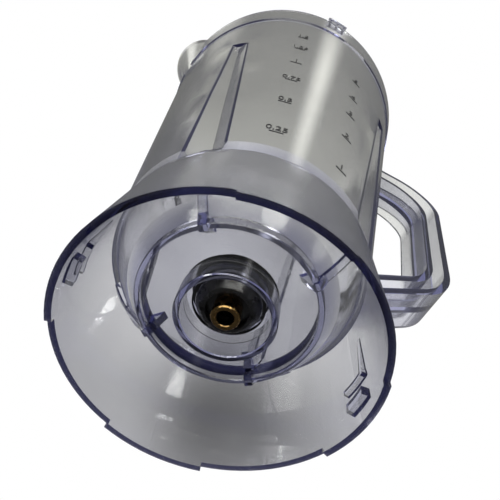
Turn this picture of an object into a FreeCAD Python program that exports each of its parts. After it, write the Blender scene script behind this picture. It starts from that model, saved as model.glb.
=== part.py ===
import FreeCAD, Part
import math
import os

# Blender jar: a clear beaker moulded in one piece with its base skirt, handle and spout,
# and the bearing assembly that is clamped in its floor. Millimetres; +Z is up.
# The origin is the centre of the circle that the four feet stand on.
# +X points to the handle, -X to the spout and -Y to the side with the measuring scale.

Vector = FreeCAD.Vector
ORIGIN = Vector(0, 0, 0)
UP = Vector(0, 0, 1)

# Beaker
height = 243.0
wall = 2.4
neck_radius = 49.1              # outside, where the beaker rises from the skirt
shoulder_radius = 68.6          # outside, just under the rim band
band_height = 21.3              # outward step that takes the lid
band_step = 0.9
rim_radius = 72.0
rim_chamfer = 0.6

# Base skirt
foot_radius = 54.4
skirt_height = 45.0
skirt_top_radius = 49.7
foot_count = 4
foot_angle = 40.0               # of each foot round the rim
foot_height = 1.8

# Bowl between skirt and floor
bowl_top = 47.5
bowl_radius = 47.5
throat_height = 54.7            # where the bowl's inside has become the beaker's straight wall
ring_radius = 33.2
ring_wall = 2.2
ring_bottom = 23.0
ring_top = 26.5                 # where the bowl runs into the ring
ring_chamfer = 0.4
floor_bottom = 31.0
floor_thickness = 3.0

# Hub under the floor
collar_radius = 18.0
collar_bore = 15.7
collar_bottom = 17.3
collar_band_top = 26.0
collar_neck_radius = 17.3
collar_chamfer = 0.4
pocket_roof = 30.0
boss_radius = 13.2
boss_bore = 11.9
boss_bottom = 26.3

# Flutes pressed into the beaker wall. Each has a narrow steep side towards the Y axis and a broad
# floor away from it. A row is a height, the angles from the Y axis of the near edge, the valley and
# the far edge, and the valley's depth.
flute_rows = [
    (45.0, 33.0, 40.6, 51.8, 4.6),
    (110.0, 36.6, 43.0, 49.4, 3.6),
    (180.0, 40.1, 45.0, 47.6, 2.4),
]
flute_floor_rise = 6.0          # slope of the flute's foot towards the valley
flute_near_end = 179.0          # height at which the near edge ends
flute_far_end = 182.5           # height at which the far edge ends
flute_end_slope = 0.4           # rise of the flute's end for each millimetre outwards
flute_slope = 14.0              # length of the cutting wedge's two slopes

# Ribs on the outside of the bowl, under the flutes
bowl_rib_angle = 49.5           # from the X axis, either way
bowl_rib_width = 3.0
bowl_rib_height = 1.6
bowl_rib_foot = 1.0             # below the ring
bowl_rib_toe = 5.0              # reach along the floor inside the ring

# Bayonet features inside the skirt, at the handle and at the spout. Front angles are towards the
# scale and back angles away from it, both from the bayonet's own X axis.
bayonet_turn = 1.9              # of that axis from X towards the scale
lug_front_angle = 7.3
lug_back_angle = 4.2
lug_bottom = 4.4
lug_height = 3.8
lug_depth = 3.3
cam_front_angle = 8.1
cam_back_angle = 6.0
cam_bottom = 13.9
cam_thickness = 2.0
cam_depth = 2.2
cam_rib_height = 16.9
cam_rib_width = 2.0
cam_rib_inset = 0.4             # from the shelf's end
cam_rib_tip = 0.3               # depth of the rib where it runs out

# Lid lugs outside the rim, front and back
rim_lug_half_angle = 4.7
rim_lug_depth = 2.0
rim_lug_height = 4.6
rim_lug_drop = 0.8              # below the rim
rim_lug_chamfer = 1.0
gusset_count = 3
gusset_pitch = 4.4
gusset_width = 1.3
gusset_length = 9.0
gusset_depth = 1.4

# Pour spout
spout_turn = 6.6                # from the X axis towards the scale
spout_reach = 7.4               # beyond the rim
spout_half_width = 17.0
spout_depth = 25.0              # down the wall
spout_point_drop = 8.0          # of the cone's point below where it leaves the wall, along its slope

# Handle: an I-section with a flange inside and outside
handle_top = 224.6
handle_turn = 0.8               # from the X axis towards the scale
handle_width = 21.6
grip_gap = 31.3                 # beaker wall to grip
grip_depth = 13.6
arm_depth = 16.7
brace_depth = 12.1
brace_angle = 37.5
brace_foot = 60.3               # height at which the brace leaves the wall
flange = 3.6
web = 3.6
grip_top_round = 27.0
grip_top_inner_round = 22.0
grip_bottom_round = 45.0

# Bearing assembly
seal_bore = 9.0
seal_radius = 13.0
seal_thickness = 1.6
stem_radius = 8.4
stem_clearance = 0.2            # in the hole through the floor
stem_bottom = 24.6
housing_flange_radius = 14.5
housing_flange_thickness = 2.6
housing_chamfer = 0.7
dome_radius = 10.0
dome_top_radius = 8.5
dome_height = 3.4
nut_radius = 11.6
nut_shoulder = 25.6
nut_nose_radius = 9.2
nut_nose_chamfer = 0.4
nut_bottom = 22.0
nut_lip_bore = 7.8
nut_lip = 1.6
nut_slot_width = 3.0
nut_slot_depth = 1.2
nut_slot_angle = -20.0          # from the X axis, of the line through both spanner slots
bush_radius = 5.1
bush_bore = 3.0
bush_bottom = 17.9
bush_length = 20.0
bush_chamfer = 0.4

MARGIN = 10.0                   # by which a cutting body runs past what it cuts
TOUCH = 1e-6                    # distance under which two points are one
bury = wall / 2                 # by which an added body is sunk into the wall

band_bottom = height - band_height
floor_top = floor_bottom + floor_thickness
seat = floor_top + seal_thickness
taper = (shoulder_radius - neck_radius) / (band_bottom - skirt_height)


def wall_radius(z):
    """Outside radius of the beaker's straight wall at height z."""
    return neck_radius + (z - skirt_height) * taper


def band_radius(z):
    """Outside radius of the rim band at height z."""
    foot = shoulder_radius + band_step
    return foot + (rim_radius - foot) * (z - band_bottom - band_step) / (band_height - band_step)


def at(radius, degrees, z):
    a = math.radians(degrees)
    return Vector(radius * math.cos(a), radius * math.sin(a), z)


def outline(corners, rounded):
    """Closed wire in the XZ plane. A corner is (x, z) or (x, z, size): the radius of its rounding, or
    if rounded is false what a chamfer takes off each edge. ("via", x, z) after a corner makes the edge
    that leaves it an arc through that point."""
    points, vias = [], []
    for corner in corners:
        if corner[0] == "via":
            vias[-1] = Vector(corner[1], 0, corner[2])
        else:
            points.append(corner)
            vias.append(None)
    places = [Vector(p[0], 0, p[1]) for p in points]
    starts, ends, edges = [], [], []
    for i, here in enumerate(places):
        if len(points[i]) == 2:
            starts.append(here)
            ends.append(here)
            continue
        size = points[i][2]
        to_last = (places[i - 1] - here).normalize()
        to_next = (places[(i + 1) % len(places)] - here).normalize()
        half = to_last.getAngle(to_next) / 2
        run = size / math.tan(half) if rounded else size
        starts.append(here + to_last * run)
        ends.append(here + to_next * run)
        if rounded:
            middle = here + (to_last + to_next).normalize() * (size / math.sin(half) - size)
            edges.append(Part.Arc(starts[i], middle, ends[i]).toShape())
        else:
            edges.append(Part.LineSegment(starts[i], ends[i]).toShape())
    for i, via in enumerate(vias):
        leave, arrive = ends[i], starts[(i + 1) % len(starts)]
        if via:
            edges.append(Part.Arc(leave, via, arrive).toShape())
        elif (arrive - leave).Length > TOUCH:
            edges.append(Part.LineSegment(leave, arrive).toShape())
    return Part.Wire(Part.__sortEdges__(edges))


def turned(corners, degrees=360.0, start=0.0):
    """Solid made by turning an XZ outline with chamfered corners about the jar's axis."""
    solid = Part.Face(outline(corners, False)).revolve(ORIGIN, UP, degrees)
    solid.rotate(ORIGIN, UP, start)
    return solid


def slab(corners, width):
    """Solid made by pushing an XZ outline with rounded corners out to both sides of the XZ plane."""
    face = Part.Face(outline(corners, True))
    face.translate(Vector(0, -width / 2, 0))
    return face.extrude(Vector(0, width, 0))


def bowl_point(z, offset):
    """Point at height z on the bowl's underside, or offset outside it. The bowl is part of a ball
    about the jar's axis that passes through the ring's root and the foot of the beaker's wall."""
    centre = (bowl_top ** 2 + bowl_radius ** 2 - ring_top ** 2 - ring_radius ** 2) / (bowl_top - ring_top) / 2
    ball_radius = math.hypot(bowl_radius, bowl_top - centre) + offset
    return math.sqrt(ball_radius ** 2 - (z - centre) ** 2), z


def envelope():
    """Everything inside the jar's outer surface, as one full solid."""
    return turned([
        (0, 0),
        (foot_radius, 0),
        (skirt_top_radius, skirt_height),
        (neck_radius, skirt_height),
        (shoulder_radius, band_bottom),
        (shoulder_radius + band_step, band_bottom + band_step),
        (rim_radius, height, rim_chamfer),
        (0, height),
    ])


def wet_space():
    """The space that the jar holds, from the floor up past the rim."""
    return turned([
        (0, floor_top),
        bowl_point(floor_top, -wall),
        ("via",) + bowl_point((floor_top + bowl_top) / 2, -wall),
        bowl_point(bowl_top, -wall),
        (wall_radius(throat_height) - wall, throat_height),
        (shoulder_radius - wall, band_bottom),
        (shoulder_radius + band_step - wall, band_bottom + band_step),
        (rim_radius - wall, height),
        (rim_radius - wall, height + MARGIN),
        (0, height + MARGIN),
    ])


def under_space():
    """The open space under the jar: inside the skirt, round the bowl, the ring and the hub."""
    return turned([
        (0, -MARGIN),
        (foot_radius - wall, -MARGIN),
        (foot_radius - wall, 0),
        bowl_point(bowl_top, 0),
        ("via",) + bowl_point((bowl_top + ring_top) / 2, 0),
        (ring_radius, ring_top),
        (ring_radius, ring_bottom, ring_chamfer),
        (ring_radius - ring_wall, ring_bottom, ring_chamfer),
        (ring_radius - ring_wall, floor_bottom),
        (collar_neck_radius, floor_bottom),
        (collar_neck_radius, collar_band_top),
        (collar_radius, collar_band_top),
        (collar_radius, collar_bottom, collar_chamfer),
        (collar_bore, collar_bottom, collar_chamfer),
        (collar_bore, pocket_roof),
        (boss_radius, pocket_roof),
        (boss_radius, boss_bottom),
        (boss_bore, boss_bottom),
        (boss_bore, pocket_roof),
        (0, pocket_roof),
    ])


def flute_section(z, near, valley, far, depth, grow):
    """Triangle across the flute that lies left of the scale: its valley, and a point on each of the
    slopes that rise from it to the wall and past it. Both slopes are moved into the jar by grow."""
    low = at(wall_radius(z) - depth, -90 - valley, z)
    left = (at(wall_radius(z), -90 - far, z) - low).normalize()
    right = (at(wall_radius(z), -90 - near, z) - low).normalize()
    left_in = left.cross(UP)
    right_in = UP.cross(right)
    low = low + (left_in + right_in) * (grow / (1 + left_in.dot(right_in)))
    return low, low + left * flute_slope, low + right * flute_slope


def flute(grow):
    """Wedge that presses a flute into the wall and ends in a flat slanted face. With grow, all its
    faces lie that much further in."""
    rings = [flute_section(*row, grow) for row in flute_rows]
    low, left, right = rings[0]
    rings[0] = (low + UP * (flute_floor_rise - grow), left - UP * grow, right - UP * grow)
    _, near, valley, far, _ = flute_rows[-1]
    past = at(MARGIN * taper, -90 - valley, MARGIN)
    rings.append([p + past for p in rings[-1]])
    wedge = Part.makeLoft([Part.makePolygon([a, b, c, a]) for a, b, c in rings], True, True)
    near_end = at(wall_radius(flute_near_end), -90 - near, flute_near_end)
    far_end = at(wall_radius(flute_far_end), -90 - far, flute_far_end)
    up = (near_end - far_end).cross(at(1, -90 - valley, flute_end_slope)).normalize()
    if up.z < 0:
        up = -up
    end = Part.Plane(far_end + up * grow, up).toShape(-height, height, -height, height)
    return wedge.common(end.extrude(up * -height))


def flutes(grow):
    left_front = flute(grow)
    front = [left_front, left_front.mirror(ORIGIN, Vector(1, 0, 0))]
    return front + [wedge.mirror(ORIGIN, Vector(0, 1, 0)) for wedge in front]


def spout(inset):
    """Cone on its point that leans out of the wall to the lip and meets the rim at the spout's width.
    The inside is smaller by inset and runs on past the rim."""
    toe_z = height - spout_depth
    toe = Vector(-wall_radius(toe_z), 0, toe_z)
    lip = Vector(-rim_radius - spout_reach, 0, height)
    corner = Vector(-math.sqrt(rim_radius ** 2 - spout_half_width ** 2), spout_half_width, height)
    point = toe - (lip - toe).normalize() * spout_point_drop
    to_lip = (lip - point).normalize()
    apart = to_lip - (corner - point).normalize()
    axis = Vector(-apart.z, 0, apart.x).normalize()
    if axis.z < 0:
        axis = -axis
    half_angle = axis.getAngle(to_lip)
    length = 2 * spout_depth
    cone = Part.makeCone(0, length * math.tan(half_angle), length,
                         point + axis * (inset / math.sin(half_angle)), axis)
    cone.rotate(ORIGIN, UP, spout_turn)
    if inset:
        return cone
    return cone.common(Part.makeCylinder(rim_radius + 2 * spout_reach, height))


def foot_gaps():
    """The arches between the feet, cut up into the skirt's edge."""
    gap = 360.0 / foot_count - foot_angle
    return [turned([
        (foot_radius - wall - MARGIN, -MARGIN),
        (foot_radius + MARGIN, -MARGIN),
        (foot_radius + MARGIN, foot_height),
        (foot_radius - wall - MARGIN, foot_height),
    ], gap, foot_angle / 2 + i * 360.0 / foot_count) for i in range(foot_count)]


def skirt_inner_radius(z):
    """Radius of the skirt's inside face at height z, taken along its chord."""
    low = foot_radius - wall
    return low + (bowl_radius - low) * z / bowl_top


def skirt_bayonet():
    """Lug, shelf and rib on the inside of the skirt at the handle's side."""
    low = skirt_inner_radius(lug_bottom)
    lug = turned([
        (low - lug_depth, lug_bottom),
        (low + bury, lug_bottom),
        (low + bury, lug_bottom + lug_height),
        (low - lug_depth, lug_bottom + lug_height),
    ], lug_front_angle + lug_back_angle, -lug_front_angle)
    outer = skirt_inner_radius(cam_bottom)
    shelf = turned([
        (outer - cam_depth, cam_bottom),
        (outer + bury, cam_bottom),
        (outer + bury, cam_bottom + cam_thickness),
        (outer - cam_depth, cam_bottom + cam_thickness),
    ], cam_back_angle + cam_front_angle, -cam_front_angle)
    rib_top = cam_bottom + cam_thickness + cam_rib_height
    rib = slab([
        (outer - cam_depth, cam_bottom),
        (outer + bury, cam_bottom),
        (skirt_inner_radius(rib_top) + bury, rib_top),
        (skirt_inner_radius(rib_top) - cam_rib_tip, rib_top),
        (outer - cam_depth, cam_bottom + cam_thickness),
    ], cam_rib_width)
    rib.rotate(ORIGIN, UP, math.degrees((cam_rib_inset + cam_rib_width / 2) / outer) - cam_front_angle)
    return [lug, shelf, rib]


def bowl_ribs():
    """Narrow ribs that follow the bowl's underside down to the ring and turn in under the floor."""
    middle = (bowl_top + ring_top) / 2
    ribs = []
    for angle in (bowl_rib_angle, 180 - bowl_rib_angle, 180 + bowl_rib_angle, -bowl_rib_angle):
        rib = slab([
            bowl_point(ring_top, bowl_rib_height),
            ("via",) + bowl_point(middle, bowl_rib_height),
            bowl_point(bowl_top, bowl_rib_height),
            bowl_point(bowl_top, -bury),
            ("via",) + bowl_point(middle, -bury),
            bowl_point(floor_bottom, -bury),
            (ring_radius - ring_wall - bowl_rib_toe, floor_bottom + floor_thickness / 2),
            (ring_radius - ring_wall - bowl_rib_toe, floor_bottom),
            (ring_radius - ring_wall, ring_bottom - bowl_rib_foot),
            (ring_radius, ring_bottom - bowl_rib_foot),
        ], bowl_rib_width)
        rib.rotate(ORIGIN, UP, angle)
        ribs.append(rib)
    return ribs


def rim_lugs():
    """Lid lugs on the rim band, each stiffened from below by three small gussets."""
    top = height - rim_lug_drop
    bottom = top - rim_lug_height
    gusset_end = bottom - gusset_length
    face = rim_radius + rim_lug_depth
    pieces = []
    for side in (-90, 90):
        pieces.append(turned([
            (band_radius(bottom) - bury, bottom),
            (face, bottom),
            (face, top - rim_lug_chamfer),
            (face - rim_lug_chamfer, top),
            (band_radius(bottom) - bury, top),
        ], 2 * rim_lug_half_angle, side - rim_lug_half_angle))
        for i in range(gusset_count):
            across = (i - (gusset_count - 1) / 2) * gusset_pitch
            gusset = slab([
                (band_radius(gusset_end), gusset_end),
                (rim_radius + gusset_depth, bottom),
                (band_radius(bottom) - bury, bottom),
                (band_radius(gusset_end) - bury, gusset_end),
            ], gusset_width)
            gusset.rotate(ORIGIN, UP, side + math.degrees(across / rim_radius))
            pieces.append(gusset)
    return pieces


def crossing(p, p_angle, q, q_angle):
    """Where the line through p at p_angle meets the line through q at q_angle, in the XZ plane."""
    ax, az = math.cos(p_angle), math.sin(p_angle)
    bx, bz = math.cos(q_angle), math.sin(q_angle)
    t = ((q[0] - p[0]) * bz - (q[1] - p[1]) * bx) / (ax * bz - az * bx)
    return p[0] + ax * t, p[1] + az * t


def handle_loop(shrink, root):
    """Outline of the handle seen from the side: arm, grip and brace, each face moved in by shrink.
    It is closed at x = root, inside the beaker wall."""
    lean = math.atan2(1, taper)
    slope = math.radians(brace_angle)
    mid = (height + skirt_height) / 2
    grip_in = (wall_radius(mid) + grip_gap + shrink / math.sin(lean), mid)
    grip_out = (grip_in[0] + (grip_depth - 2 * shrink) / math.sin(lean), mid)
    foot = (wall_radius(brace_foot), brace_foot + shrink / math.cos(slope))
    foot_in = (foot[0], foot[1] + (brace_depth - 2 * shrink) / math.cos(slope))
    top_out = (root, handle_top - shrink)
    top_in = (root, handle_top - arm_depth + shrink)
    corner_a = crossing(top_out, 0, grip_out, lean)
    corner_b = crossing(foot, slope, grip_out, lean)
    corner_c = crossing(foot_in, slope, grip_in, lean)
    corner_d = crossing(top_in, 0, grip_in, lean)
    low_out = crossing(foot, slope, (root, 0), math.pi / 2)
    low_in = crossing(foot_in, slope, (root, 0), math.pi / 2)
    return [
        top_out,
        corner_a + (grip_top_round - shrink,),
        corner_b + (grip_bottom_round - shrink,),
        low_out,
        low_in,
        corner_c + (grip_bottom_round - brace_depth + shrink,),
        corner_d + (grip_top_inner_round + shrink,),
        top_in,
    ]


def handle():
    """D handle with flanges inside and outside and a web between them, cut off inside the wall."""
    root = neck_radius - MARGIN
    bar = slab(handle_loop(0, root), handle_width)
    depth = (handle_width - web) / 2 + MARGIN
    for side in (-1, 1):
        groove = slab(handle_loop(flange, root - MARGIN), depth)
        groove.translate(Vector(0, side * (web + depth) / 2, 0))
        bar = bar.cut(groove)
    bar.rotate(ORIGIN, UP, -handle_turn)
    return bar.cut(turned([
        (0, 0),
        (neck_radius - bury, 0),
        (neck_radius - bury, skirt_height),
        (shoulder_radius - bury, band_bottom),
        (rim_radius - bury, height),
        (0, height),
    ]))


def jar_body():
    """The clear moulding."""
    pads = flutes(wall)
    shell = envelope().fuse(spout(0))
    inside = wet_space().fuse(spout(wall)).cut(pads)
    under = under_space().cut(pads)
    drive_hole = Part.makeCylinder(stem_radius + stem_clearance, floor_thickness + 2 * MARGIN,
                                   Vector(0, 0, floor_bottom - MARGIN))
    body = shell.cut([inside, under, drive_hole] + flutes(0) + foot_gaps())
    near = skirt_bayonet()
    bayonet = near + [piece.mirror(ORIGIN, Vector(1, 0, 0)) for piece in near]
    for piece in bayonet:
        piece.rotate(ORIGIN, UP, -bayonet_turn)
    return body.multiFuse([handle()] + bowl_ribs() + rim_lugs() + bayonet).removeSplitter()


def housing_seal():
    return turned([
        (seal_bore, floor_top),
        (seal_radius, floor_top),
        (seal_radius, seat),
        (seal_bore, seat),
    ])


def bush_housing():
    """Flanged housing: its stem passes down through the floor and carries the bush in its bore."""
    flange_top = seat + housing_flange_thickness
    dome_top = flange_top + dome_height
    return turned([
        (bush_radius, stem_bottom),
        (stem_radius, stem_bottom),
        (stem_radius, seat),
        (housing_flange_radius, seat),
        (housing_flange_radius, flange_top, housing_chamfer),
        (dome_radius, flange_top),
        (dome_top_radius, dome_top, housing_chamfer),
        (bush_radius, dome_top),
    ])


def retaining_nut():
    """Nut with a tapered nose and an inward lip, screwed up the stem against the floor."""
    nut = turned([
        (nut_lip_bore, nut_bottom),
        (nut_nose_radius, nut_bottom, nut_nose_chamfer),
        (nut_radius, nut_shoulder),
        (nut_radius, pocket_roof),
        (stem_radius, pocket_roof),
        (stem_radius, nut_bottom + nut_lip),
        (nut_lip_bore, nut_bottom + nut_lip),
    ])
    slot = Part.makeBox(2 * nut_radius, nut_slot_width, nut_slot_depth,
                        Vector(-nut_radius, -nut_slot_width / 2, nut_bottom))
    slot.rotate(ORIGIN, UP, nut_slot_angle)
    return nut.cut(slot)


def bearing_bush():
    top = bush_bottom + bush_length
    return turned([
        (bush_bore + bush_chamfer, bush_bottom),
        (bush_radius - bush_chamfer, bush_bottom),
        (bush_radius, bush_bottom + bush_chamfer),
        (bush_radius, top),
        (bush_bore, top),
        (bush_bore, bush_bottom + bush_chamfer),
    ])


def main():
    os.makedirs("parts", exist_ok=True)
    nodes = {
        "jar_body": jar_body(),
        "bush_housing": bush_housing(),
        "housing_seal": housing_seal(),
        "retaining_nut": retaining_nut(),
        "bearing_bush": bearing_bush(),
    }
    for name, shape in nodes.items():
        print(name, "solids", len(shape.Solids), "valid", shape.isValid(), "volume", round(shape.Volume))
        shape.exportStep(f"parts/{name}.step")


main()
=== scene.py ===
import math

import bpy
import numpy as np
from mathutils import Matrix


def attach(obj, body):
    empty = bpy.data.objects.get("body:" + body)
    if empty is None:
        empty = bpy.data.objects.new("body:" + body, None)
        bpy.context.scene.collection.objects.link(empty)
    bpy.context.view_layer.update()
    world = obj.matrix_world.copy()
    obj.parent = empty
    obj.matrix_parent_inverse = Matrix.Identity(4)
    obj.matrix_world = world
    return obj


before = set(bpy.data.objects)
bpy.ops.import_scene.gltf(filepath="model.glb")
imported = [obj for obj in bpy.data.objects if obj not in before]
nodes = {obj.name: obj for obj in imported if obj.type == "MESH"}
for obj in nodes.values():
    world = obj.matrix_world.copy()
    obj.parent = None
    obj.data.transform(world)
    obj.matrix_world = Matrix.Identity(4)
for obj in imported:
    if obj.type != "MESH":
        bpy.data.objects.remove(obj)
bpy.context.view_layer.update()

# Jar body: one injection moulding in clear styrene-acrylonitrile, slightly smoky, with beaker,
# spout, handle, skirt and bowl in one. It is polished, with a satin finish on the beaker and outside
# on the skirt. Use has left a little haze, and more plastic behind a place makes it darker.


def feed(tree, slot, value):
    """Sets a node's input to a value, or links it where the value is another node's output."""
    if isinstance(value, bpy.types.NodeSocket):
        tree.links.new(value, slot)
    else:
        slot.default_value = value


def place(tree, kind, **values):
    """A node of that kind with the given inputs, whose names have _ for a space."""
    node = tree.nodes.new(kind)
    for name, value in values.items():
        feed(tree, node.inputs[name.replace("_", " ")], value)
    return node


def worked_out(tree, operation, *values):
    """Result of a Math node on the values, in their order."""
    node = tree.nodes.new("ShaderNodeMath")
    node.operation = operation
    for slot, value in zip(node.inputs, values):
        feed(tree, slot, value)
    return node.outputs[0]


def vector_result(tree, operation, *values):
    """Outputs of a Vector Math node on the values, in their order."""
    node = tree.nodes.new("ShaderNodeVectorMath")
    node.operation = operation
    for slot, value in zip(node.inputs, values):
        feed(tree, slot, value)
    return node.outputs


def step(tree, value, start, end, low=0.0, high=1.0, course="LINEAR"):
    """Goes from low to high while the value goes from start to end, and is level before and after."""
    node = place(tree, "ShaderNodeMapRange", Value=value, From_Min=start, From_Max=end,
                 To_Min=low, To_Max=high)
    node.interpolation_type = course
    return node.outputs["Result"]


def blended(tree, amount, first, second):
    """Colour that goes from the first to the second with an amount from 0 to 1."""
    node = tree.nodes.new("ShaderNodeMix")
    node.data_type = "RGBA"
    feed(tree, node.inputs["Factor"], amount)
    feed(tree, node.inputs["A"], first)
    feed(tree, node.inputs["B"], second)
    return node.outputs["Result"]


def either(tree, amount, first, second):
    """Shader that goes from the first to the second with an amount from 0 to 1."""
    node = tree.nodes.new("ShaderNodeMixShader")
    for slot, value in zip(node.inputs, (amount, first, second)):
        feed(tree, slot, value)
    return node.outputs["Shader"]


def off_axis(tree, where):
    """Distance of a place from the jar's axis: its length without its height."""
    level = vector_result(tree, "MULTIPLY", where, (1, 1, 0))
    return vector_result(tree, "LENGTH", level["Vector"])["Value"]


def handling_haze():
    """Group: a faint grey bloom that follows slow noise, and hair scratches that run mostly upwards.
    Puts out a roughness, a tint between the two given colours, and a height for a bump."""
    group = bpy.data.node_groups.new("handling_haze", "ShaderNodeTree")
    face = group.interface
    face.new_socket("Vector", in_out="INPUT", socket_type="NodeSocketVector")
    for name in ("Polished Roughness", "Hazy Roughness", "Cloud Scale", "Scratch Scale"):
        face.new_socket(name, in_out="INPUT", socket_type="NodeSocketFloat")
    for name in ("Clean Tint", "Hazy Tint"):
        face.new_socket(name, in_out="INPUT", socket_type="NodeSocketColor")
    face.new_socket("Roughness", in_out="OUTPUT", socket_type="NodeSocketFloat")
    face.new_socket("Tint", in_out="OUTPUT", socket_type="NodeSocketColor")
    face.new_socket("Height", in_out="OUTPUT", socket_type="NodeSocketFloat")
    given = group.nodes.new("NodeGroupInput").outputs
    cloud = place(group, "ShaderNodeTexNoise", Vector=given["Vector"], Scale=given["Cloud Scale"],
                  Detail=3.0)
    stretch = place(group, "ShaderNodeMapping", Vector=given["Vector"], Scale=(1.0, 1.0, 0.06))
    hair = place(group, "ShaderNodeTexNoise", Vector=stretch.outputs["Vector"],
                 Scale=given["Scratch Scale"], Detail=2.0)
    scratch = step(group, hair.outputs["Fac"], 0.62, 0.78)
    bloom = step(group, cloud.outputs["Fac"], 0.42, 0.72)
    worn = worked_out(group, "MULTIPLY_ADD", scratch, 0.35, bloom)
    worn.node.use_clamp = True
    roughness = step(group, worn, 0.0, 1.0, given["Polished Roughness"], given["Hazy Roughness"])
    tint = blended(group, bloom, given["Clean Tint"], given["Hazy Tint"])
    place(group, "NodeGroupOutput", Roughness=roughness, Tint=tint, Height=scratch)
    return group


haze = handling_haze()


def handled(tree, where, polished, hazy, clean, bloom, clouds, scratches):
    """Outputs of the haze group with one material's roughnesses, tints and pattern sizes."""
    marks = tree.nodes.new("ShaderNodeGroup")
    marks.node_tree = haze
    for name, value in (("Vector", where), ("Polished Roughness", polished), ("Hazy Roughness", hazy),
                        ("Clean Tint", clean), ("Hazy Tint", bloom), ("Cloud Scale", clouds),
                        ("Scratch Scale", scratches)):
        feed(tree, marks.inputs[name], value)
    return marks.outputs


def empty_material(name):
    """A new material without nodes, and its tree."""
    material = bpy.data.materials.new(name)
    material.use_nodes = True
    material.node_tree.nodes.clear()
    return material, material.node_tree


def clear_plastic():
    """Refracting plastic that absorbs by thickness, red and green more than blue. Rays that look for
    a lamp pass it, so that what is inside is lit. A ray that has turned back inside a wall four
    times, as it does along an edge, ends on a painted glow, violet grey, and paler less than 45 mm
    from the axis, where the bowl is: painted light in place of what the ray would still have met.
    The roughness is that of the haze or of the satin finish, whichever is more. Satin is what
    lies above the neck, and below it what lies outside the skirt's cone, whose radius falls by about a
    tenth of the height."""
    neck = 0.046
    skirt_fall = 0.107
    skirt_face = 0.0532
    skirt_satin = 0.22
    beaker_satin = 0.10
    bowl_reach = 0.045
    most_turns = 3.5
    material, tree = empty_material("clear_styrene")
    where = tree.nodes.new("ShaderNodeTexCoord").outputs["Object"]
    height = place(tree, "ShaderNodeSeparateXYZ", Vector=where).outputs["Z"]
    radius = off_axis(tree, where)
    marks = handled(tree, where, polished=0.03, hazy=0.08, clean=(0.97, 0.97, 0.93, 1),
                    bloom=(0.88, 0.88, 0.85, 1), clouds=18.0, scratches=420.0)
    bump = place(tree, "ShaderNodeBump", Strength=0.12, Distance=0.0001, Height=marks["Height"])
    cone = worked_out(tree, "MULTIPLY_ADD", height, skirt_fall, radius)
    outside = step(tree, cone, skirt_face, skirt_face + 0.0004)
    skirt = worked_out(tree, "MULTIPLY", outside, step(tree, height, neck, neck - 0.001, 0.0, skirt_satin))
    satin = worked_out(tree, "MAXIMUM", skirt, step(tree, height, neck, neck + 0.006, 0.0, beaker_satin))
    body = place(tree, "ShaderNodeBsdfPrincipled", Base_Color=marks["Tint"],
                 Roughness=worked_out(tree, "MAXIMUM", satin, marks["Roughness"]),
                 IOR=1.57, Transmission_Weight=1.0, Normal=bump.outputs["Normal"])
    path = tree.nodes.new("ShaderNodeLightPath").outputs
    # Painted light: where a ray has turned back inside the plastic four times, it ends on a violet grey
    # glow, paler near the bowl.
    in_bowl = step(tree, radius, bowl_reach + 0.002, bowl_reach - 0.002)
    painted_edge_glow = blended(tree, in_bowl, (0.13, 0.13, 0.18, 1), (0.60, 0.60, 0.62, 1))
    painted_glow = place(tree, "ShaderNodeEmission", Color=painted_edge_glow)
    turned_back = worked_out(tree, "GREATER_THAN", path["Glossy Depth"], most_turns)
    body_or_painted_glow = either(tree, turned_back, body.outputs["BSDF"], painted_glow.outputs["Emission"])
    passed = place(tree, "ShaderNodeBsdfTransparent", Color=(0.62, 0.62, 0.66, 1))
    surface = either(tree, path["Is Shadow Ray"], body_or_painted_glow, passed.outputs["BSDF"])
    depth = place(tree, "ShaderNodeVolumeAbsorption", Color=(0.48, 0.49, 0.71, 1), Density=140.0)
    place(tree, "ShaderNodeOutputMaterial", Surface=surface, Volume=depth.outputs["Volume"])
    return material


def dress(node_name, material):
    """Puts the material in every slot of a CAD node."""
    piece = nodes[node_name]
    if not piece.material_slots:
        piece.data.materials.append(material)
    for item in piece.material_slots:
        item.material = material


dress("jar_body", clear_plastic())

# Bearing housing and retaining nut: black glass-filled nylon, moulded, the housing pushed down
# through the floor from inside and the nut screwed on from below. Both have a soft gloss.


def black_moulding(name, colour, polished, hazy):
    """Opaque plastic or rubber with an uneven gloss, half as light again where it has a bloom."""
    material = bpy.data.materials.new(name)
    material.use_nodes = True
    tree = material.node_tree
    where = tree.nodes.new("ShaderNodeTexCoord").outputs["Object"]
    marks = handled(tree, where, polished, hazy, clean=colour + (1,),
                    bloom=tuple(1.5 * part for part in colour) + (1,), clouds=160.0, scratches=1500.0)
    bump = place(tree, "ShaderNodeBump", Strength=0.25, Distance=0.00005, Height=marks["Height"])
    body = tree.nodes["Principled BSDF"]
    for name, value in (("Base Color", marks["Tint"]), ("Roughness", marks["Roughness"]),
                        ("IOR", 1.53), ("Normal", bump.outputs["Normal"])):
        feed(tree, body.inputs[name], value)
    return material


black_nylon = black_moulding("black_nylon", (0.010, 0.010, 0.012), 0.18, 0.35)
dress("bush_housing", black_nylon)
dress("retaining_nut", black_nylon)

# Housing seal: a flat ring of black nitrile rubber, squeezed between the housing's flange and the
# jar's floor. Matt, with a little dust.

dress("housing_seal", black_moulding("nitrile_rubber", (0.014, 0.014, 0.014), 0.55, 0.75))

# Bearing bush: turned brass, pressed into the housing. Its end has fine turning rings, and handling
# has dulled it to a brown gold.


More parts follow.
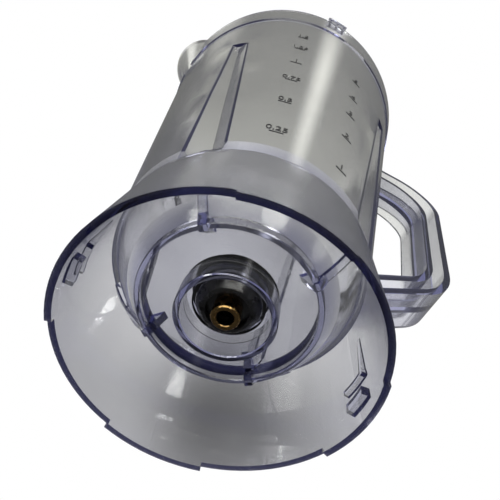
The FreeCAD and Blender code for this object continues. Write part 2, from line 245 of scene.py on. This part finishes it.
def turned_brass():
    """Metal whose height follows fine rings about the jar's axis, with brown tarnish in slow patches.
    Within 3.05 mm of the axis, in the bore, it is near black: painted shade."""
    material = bpy.data.materials.new("turned_brass")
    material.use_nodes = True
    tree = material.node_tree
    where = tree.nodes.new("ShaderNodeTexCoord").outputs["Object"]
    marks = handled(tree, where, polished=0.2, hazy=0.45, clean=(0.24, 0.15, 0.06, 1),
                    bloom=(0.10, 0.06, 0.025, 1), clouds=260.0, scratches=2500.0)
    # Near black in the bore, within 3.05 mm of the axis: painted shade.
    outside_painted_bore_shade = step(tree, off_axis(tree, where), 0.00305, 0.0033)
    colour = blended(tree, outside_painted_bore_shade, (0.012, 0.009, 0.006, 1), marks["Tint"])
    rings = place(tree, "ShaderNodeTexWave", Vector=where, Scale=900.0, Distortion=0.4)
    rings.wave_type = "RINGS"
    rings.rings_direction = "Z"
    bump = place(tree, "ShaderNodeBump", Strength=0.3, Distance=0.00003, Height=rings.outputs["Fac"])
    body = tree.nodes["Principled BSDF"]
    for name, value in (("Base Color", colour), ("Metallic", 1.0), ("Roughness", marks["Roughness"]),
                        ("Normal", bump.outputs["Normal"])):
        feed(tree, body.inputs[name], value)
    return material


dress("bearing_bush", turned_brass())

# Measuring scale: plain figures and short ticks that stand slightly proud of the beaker's front, in
# two columns, litres on the left and cups on the right. They are inked grey so that they can be read.
# Sizes are in metres, heights count from the feet, and azimuths are degrees from the handle.

print_height = 0.00025
print_depth = 0.0002
figure_size = 0.0051
tick_width = 0.0055
tick_height = 0.0005
tick_drop = 0.0012
litres_azimuth = -104.2
cups_azimuth = -72.8
litres = ((0.0665, "0.25"), (0.0965, "0.5"), (0.1235, "0.75"),
          (0.1485, "1"), (0.1715, "1.25"), (0.1925, "1.5"))
cups = ((0.066, "1"), (0.0965, "2"), (0.1232, "3"), (0.1458, "4"), (0.1715, "5"))
neck_radius, neck_height = 0.0491, 0.045
shoulder_radius, shoulder_height = 0.0686, 0.2217

scale_ink = bpy.data.materials.new("scale_ink")
scale_ink.use_nodes = True
ink = scale_ink.node_tree.nodes["Principled BSDF"]
ink.inputs["Base Color"].default_value = (0.06, 0.06, 0.06, 1)
ink.inputs["Roughness"].default_value = 0.35


def wrapped(flat, azimuth, z):
    """Flat drawing (x right, y up, thickness z from 0 to 1) laid on the beaker's cone: x becomes an
    arc about the axis, y a height, and the thickness goes from inside the wall to the print's face."""
    height = z + flat[:, 1]
    taper = (shoulder_radius - neck_radius) / (shoulder_height - neck_height)
    wall = neck_radius + (height - neck_height) * taper
    angle = math.radians(azimuth) + flat[:, 0] / wall
    radius = wall - print_depth + flat[:, 2] * (print_height + print_depth)
    return np.stack([radius * np.cos(angle), radius * np.sin(angle), height], axis=1)


def figure(text):
    """Vertices and faces of a line of text, centred on the origin, with a thickness from 0 to 1."""
    curve = bpy.data.curves.new("figure", "FONT")
    curve.body = text
    curve.size = figure_size
    curve.align_x = "CENTER"
    curve.extrude = 0.5
    holder = bpy.data.objects.new("figure", curve)
    bpy.context.scene.collection.objects.link(holder)
    solid = bpy.data.meshes.new_from_object(holder)
    co = np.zeros(len(solid.vertices) * 3)
    solid.vertices.foreach_get("co", co)
    co = co.reshape(-1, 3)
    co[:, 2] += 0.5
    loops = [tuple(face.vertices) for face in solid.polygons]
    bpy.data.objects.remove(holder)
    return co, loops


def tick():
    """Vertices and faces of a flat bar that lies centred under a figure."""
    corners = np.array([(-0.5, -1), (0.5, -1), (0.5, 0), (-0.5, 0)]) * (tick_width, tick_height)
    co = np.array([(x, y - tick_drop, z) for z in (0, 1) for x, y in corners])
    loops = [(0, 3, 2, 1), (4, 5, 6, 7), (0, 1, 5, 4), (1, 2, 6, 5), (2, 3, 7, 6), (3, 0, 4, 7)]
    return co, loops


points, faces = [], []
count = 0
for column, azimuth in ((litres, litres_azimuth), (cups, cups_azimuth)):
    for z, text in column:
        for co, loops in (figure(text), tick()):
            points.append(wrapped(co, azimuth, z))
            faces += [tuple(i + count for i in loop) for loop in loops]
            count += len(co)
shape = bpy.data.meshes.new("scale_marks")
shape.from_pydata(np.concatenate(points).tolist(), [], faces)
shape.update()
scale_marks = bpy.data.objects.new("scale_marks", shape)
scale_marks.data.materials.append(scale_ink)
bpy.context.scene.collection.objects.link(scale_marks)
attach(scale_marks, "root")

# Floor: a plain pale board that the jar stands on. It shows only from above, because the photograph
# was taken from under the jar, and the jar's faces mirror the lights below it. It lies 0.4 mm under
# the feet, so that their faces and its own don't share a plane.

floor_half = 3.0
floor_height = -0.0004
board, tree = empty_material("pale_board")
path = tree.nodes.new("ShaderNodeLightPath").outputs
backfacing = tree.nodes.new("ShaderNodeNewGeometry").outputs["Backfacing"]
let_past = worked_out(tree, "MAXIMUM", path["Is Shadow Ray"], path["Glossy Depth"])
unseen = worked_out(tree, "MAXIMUM", backfacing, let_past)
unseen.node.use_clamp = True
pale = place(tree, "ShaderNodeBsdfDiffuse", Color=(0.86, 0.86, 0.86, 1))
clear = tree.nodes.new("ShaderNodeBsdfTransparent")
place(tree, "ShaderNodeOutputMaterial",
      Surface=either(tree, unseen, pale.outputs["BSDF"], clear.outputs["BSDF"]))
corners = [(x * floor_half, y * floor_half, floor_height) for x, y in ((-1, -1), (1, -1), (1, 1), (-1, 1))]
shape = bpy.data.meshes.new("floor")
shape.from_pydata(corners, [], [(0, 1, 2, 3)])
floor = bpy.data.objects.new("floor", shape)
floor.data.materials.append(board)
bpy.context.scene.collection.objects.link(floor)

# World: white where the camera, a reflection or a view through the plastic meets it, and a plain
# soft grey light for everything else.

world = bpy.data.worlds.new("studio")
bpy.context.scene.world = world
world.use_nodes = True
tree = world.node_tree
tree.nodes.clear()
path = tree.nodes.new("ShaderNodeLightPath").outputs
mirrored_or_seen = worked_out(tree, "MAXIMUM", path["Is Camera Ray"], path["Is Glossy Ray"])
shown = worked_out(tree, "MAXIMUM", mirrored_or_seen, path["Is Transmission Ray"])
soft = place(tree, "ShaderNodeBackground", Color=(1, 1, 1, 1), Strength=0.75)
white = place(tree, "ShaderNodeBackground", Color=(1, 1, 1, 1), Strength=1.0)
place(tree, "ShaderNodeOutputWorld",
      Surface=either(tree, shown, soft.outputs["Background"], white.outputs["Background"]))

# Light tent: a grey dome of cloth round the jar, which only shines in the jar's polished faces and
# through its plastic. What the faces mirror is darker straight above and below, with a strip light
# and soft lights where the photograph has its highlights. What shows through is an even grey.

tent_radius = 2.0
strip_normal = (0.997, 0.017, -0.072)
strip_half_width = math.radians(5.5)
strip_level = 1.8

# Each light is a direction, the degrees from it up to which it is full and at which it ends, and its
# level. Those above the horizon show mostly in the skirt, those below it in the bowl.
mirrored_lights = (
    ((-0.28, 0.00, 0.96), 0.5, 8.0, 0.5),
    ((0.125, -0.825, 0.553), 1.0, 6.0, 34.0),
    ((0.737, 0.022, 0.675), 0.5, 2.5, 30.0),
    ((-0.809, -0.208, 0.55), 0.5, 2.4, 14.0),
    ((-0.77, -0.20, 0.57), 4.0, 16.0, 2.4),
    ((0.07, -0.93, -0.34), 6.0, 12.0, 32.0),
    ((-0.40, -0.84, -0.36), 6.0, 30.0, 5.0),
    ((-0.834, -0.387, -0.392), 3.0, 9.0, 12.0),
    ((0.74, -0.62, -0.20), 3.0, 9.0, 4.0))

# Lighter behind the handle and behind the spout's side of the bowl, and a dark band behind the back of
# the skirt.
shown_lights = (
    ((0.36, 0.30, 0.885), 5.0, 10.0, 0.55),
    ((-0.05, 0.55, 0.83), 6.0, 16.0, 0.20),
    ((0.156, 0.683, 0.713), 0.5, 7.0, -0.15),
    ((0.199, 0.708, 0.678), 0.5, 9.0, -0.15),
    ((0.250, 0.735, 0.630), 0.5, 10.0, -0.18),
    ((0.339, 0.626, 0.702), 2.0, 8.0, -0.16))


def smooth(tree, value, start, end, low, high):
    """Smooth step of a value: low up to start and high from end on."""
    return step(tree, value, start, end, low, high, "SMOOTHSTEP")


def with_lights(tree, level, toward, lights):
    """The level with each light added, which fades with the cosine of the angle from its direction."""
    for direction, full, none, amount in lights:
        unit = np.array(direction) / np.linalg.norm(direction)
        near = vector_result(tree, "DOT_PRODUCT", toward, unit.tolist())["Value"]
        fade = smooth(tree, near, math.cos(math.radians(none)), math.cos(math.radians(full)), 0.0, amount)
        level = worked_out(tree, "ADD", level, fade)
    return level


cloth, tree = empty_material("tent_cloth")
where = tree.nodes.new("ShaderNodeTexCoord").outputs["Object"]
toward = vector_result(tree, "NORMALIZE", where)["Vector"]
part = place(tree, "ShaderNodeSeparateXYZ", Vector=toward).outputs

off_plane = worked_out(tree, "ABSOLUTE", vector_result(tree, "DOT_PRODUCT", toward, strip_normal)["Value"])
strip = smooth(tree, off_plane, 0.0, math.sin(strip_half_width), strip_level, 0.0)
strip = worked_out(tree, "MULTIPLY", strip, smooth(tree, part["Y"], -0.40, -0.26, 1.0, 0.0))
strip = worked_out(tree, "MULTIPLY", strip, smooth(tree, part["Z"], 0.70, 0.82, 0.0, 1.0))
overhead = worked_out(tree, "MULTIPLY", smooth(tree, part["Z"], -0.4, 0.1, 0.1, 0.45),
                      smooth(tree, part["Z"], 0.3, 0.92, 1.0, 0.4))
mirrored = with_lights(tree, worked_out(tree, "ADD", strip, overhead), toward, mirrored_lights)

slant = worked_out(tree, "MULTIPLY_ADD", part["X"], 0.3, part["Y"])
past_beaker = worked_out(tree, "MULTIPLY", smooth(tree, slant, 0.41, 0.47, 1.0, 1.4),
                         smooth(tree, part["Y"], 0.54, 0.64, 1.0, 0.69))
through = worked_out(tree, "MULTIPLY", smooth(tree, slant, 0.20, 0.30, 0.47, 0.54), past_beaker)
through = with_lights(tree, through, toward, shown_lights)

path = tree.nodes.new("ShaderNodeLightPath").outputs
bounced = worked_out(tree, "GREATER_THAN", path["Glossy Depth"], 0.5)
level = place(tree, "ShaderNodeMix", Factor=bounced, A=through, B=mirrored)
warmth = smooth(tree, part["Y"], 0.33, 0.40, 1.0, 0.0)
glow = place(tree, "ShaderNodeEmission", Strength=level.outputs["Result"],
             Color=blended(tree, warmth, (1, 1, 1, 1), (1, 1, 0.90, 1)))
place(tree, "ShaderNodeOutputMaterial", Surface=glow.outputs["Emission"])

# The dome is a whole sphere: a grid of the angle from the top and the angle around.
rows, columns = 24, 48
down, around = np.meshgrid(np.linspace(0, math.pi, rows),
                           np.linspace(0, 2 * math.pi, columns, False), indexing="ij")
dome = tent_radius * np.stack([np.sin(down) * np.cos(around), np.sin(down) * np.sin(around), np.cos(down)],
                              axis=-1)
here = np.arange(rows * columns).reshape(rows, columns)
beside = np.roll(here, -1, axis=1)
quads = np.stack([here[:-1], here[1:], beside[1:], beside[:-1]], axis=-1).reshape(-1, 4)
shape = bpy.data.meshes.new("light_tent")
shape.from_pydata(dome.reshape(-1, 3).tolist(), [], quads.tolist())
tent = bpy.data.objects.new("light_tent", shape)
tent.data.materials.append(cloth)
tent.visible_camera = False
tent.visible_diffuse = False
tent.visible_shadow = False
bpy.context.scene.collection.objects.link(tent)

# Lamps: two soft boxes, one in front and one below beside the camera. They don't show through the
# plastic.


def soft_box(name, place_at, look_at, width, height, power):
    """Rectangular area lamp that faces look_at."""
    lamp = bpy.data.lights.new(name, "AREA")
    lamp.shape = "RECTANGLE"
    lamp.size = width
    lamp.size_y = height
    lamp.energy = power
    holder = bpy.data.objects.new(name, lamp)
    back = np.array(place_at, float) - np.array(look_at, float)
    back /= np.linalg.norm(back)
    side = np.cross((0.0, 0.0, 1.0), back)
    side /= np.linalg.norm(side)
    up = np.cross(back, side)
    turn = Matrix(np.column_stack([side, up, back]).tolist()).to_4x4()
    turn.translation = place_at
    holder.matrix_world = turn
    holder.visible_transmission = False
    bpy.context.scene.collection.objects.link(holder)


soft_box("front_box", (0.35, -0.95, 0.1), (0, 0, 0.13), width=0.3, height=0.6, power=3)
soft_box("low_box", (-0.5, -0.4, -0.55), (0, 0, 0.05), width=0.25, height=0.25, power=1)

# Camera: where the photograph was taken from, below the jar and in front of it. The columns of its
# turn are its right, its up and the way back from the jar.

camera = bpy.data.objects.new("camera", bpy.data.cameras.new("camera"))
camera.data.sensor_width = 36.0
camera.data.lens = 40.854
camera.data.clip_start = 0.01
view = Matrix(((0.87902562, -0.46000773, -0.12532692),
               (-0.45930442, -0.74653062, -0.48138496),
               (0.12788043, 0.48071293, -0.86750313))).to_4x4()
view.translation = (-0.02694122, -0.11221825, -0.13436486)
camera.matrix_world = view
bpy.context.scene.collection.objects.link(camera)
bpy.context.scene.camera = camera
bpy.context.scene.view_settings.view_transform = "Standard"
